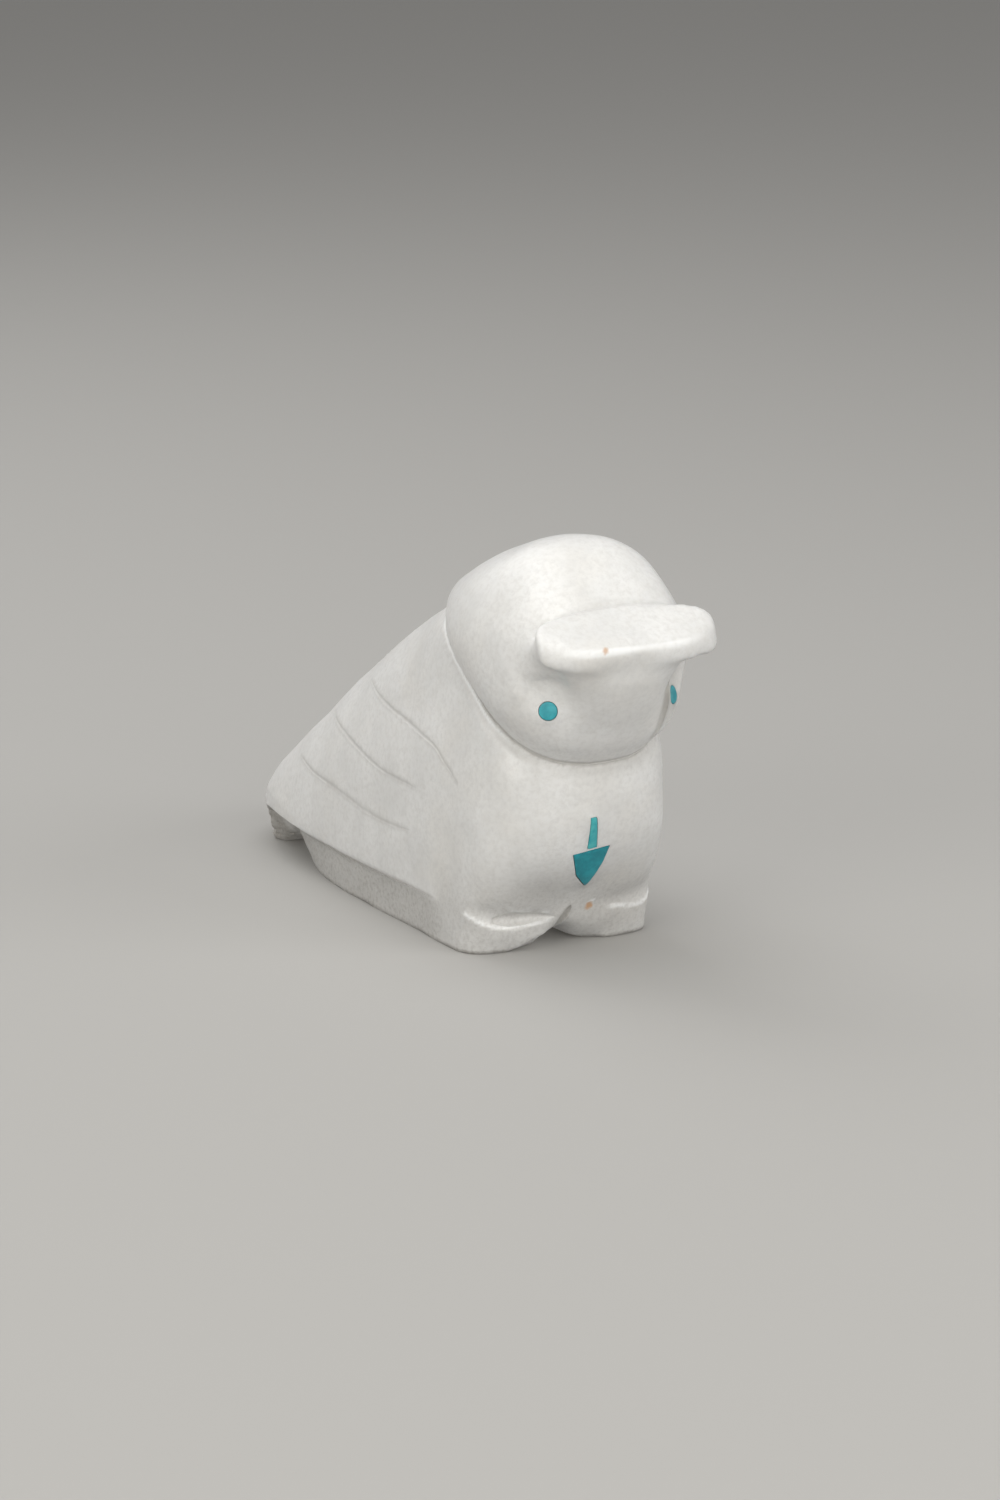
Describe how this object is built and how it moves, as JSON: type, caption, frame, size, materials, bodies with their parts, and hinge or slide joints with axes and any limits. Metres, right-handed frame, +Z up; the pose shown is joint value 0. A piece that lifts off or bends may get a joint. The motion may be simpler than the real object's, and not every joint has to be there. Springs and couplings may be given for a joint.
{
  "type": "carved stone bird fetish",
  "caption": "Small carved white stone bird with a domed head, brow bar and folded wings, inlaid with turquoise eyes and an arrow on the breast.",
  "frame": {"origin": "on the ground under the middle of the bird's bounding box", "axes": "+Z up, -Y the way the bird faces, +X towards its left side"},
  "size_m": [0.022, 0.0696, 0.0421],
  "materials": {
    "stone": "polished milky white stone, matt on the base",
    "turquoise": "satin blue-green stone"
  },
  "bodies": {
    "root": {"stone_body": "stone", "eye_inlay_right": "turquoise", "eye_inlay_left": "turquoise", "arrow_head_inlay": "turquoise", "arrow_shaft_inlay": "turquoise"}
  },
  "joints": []
}
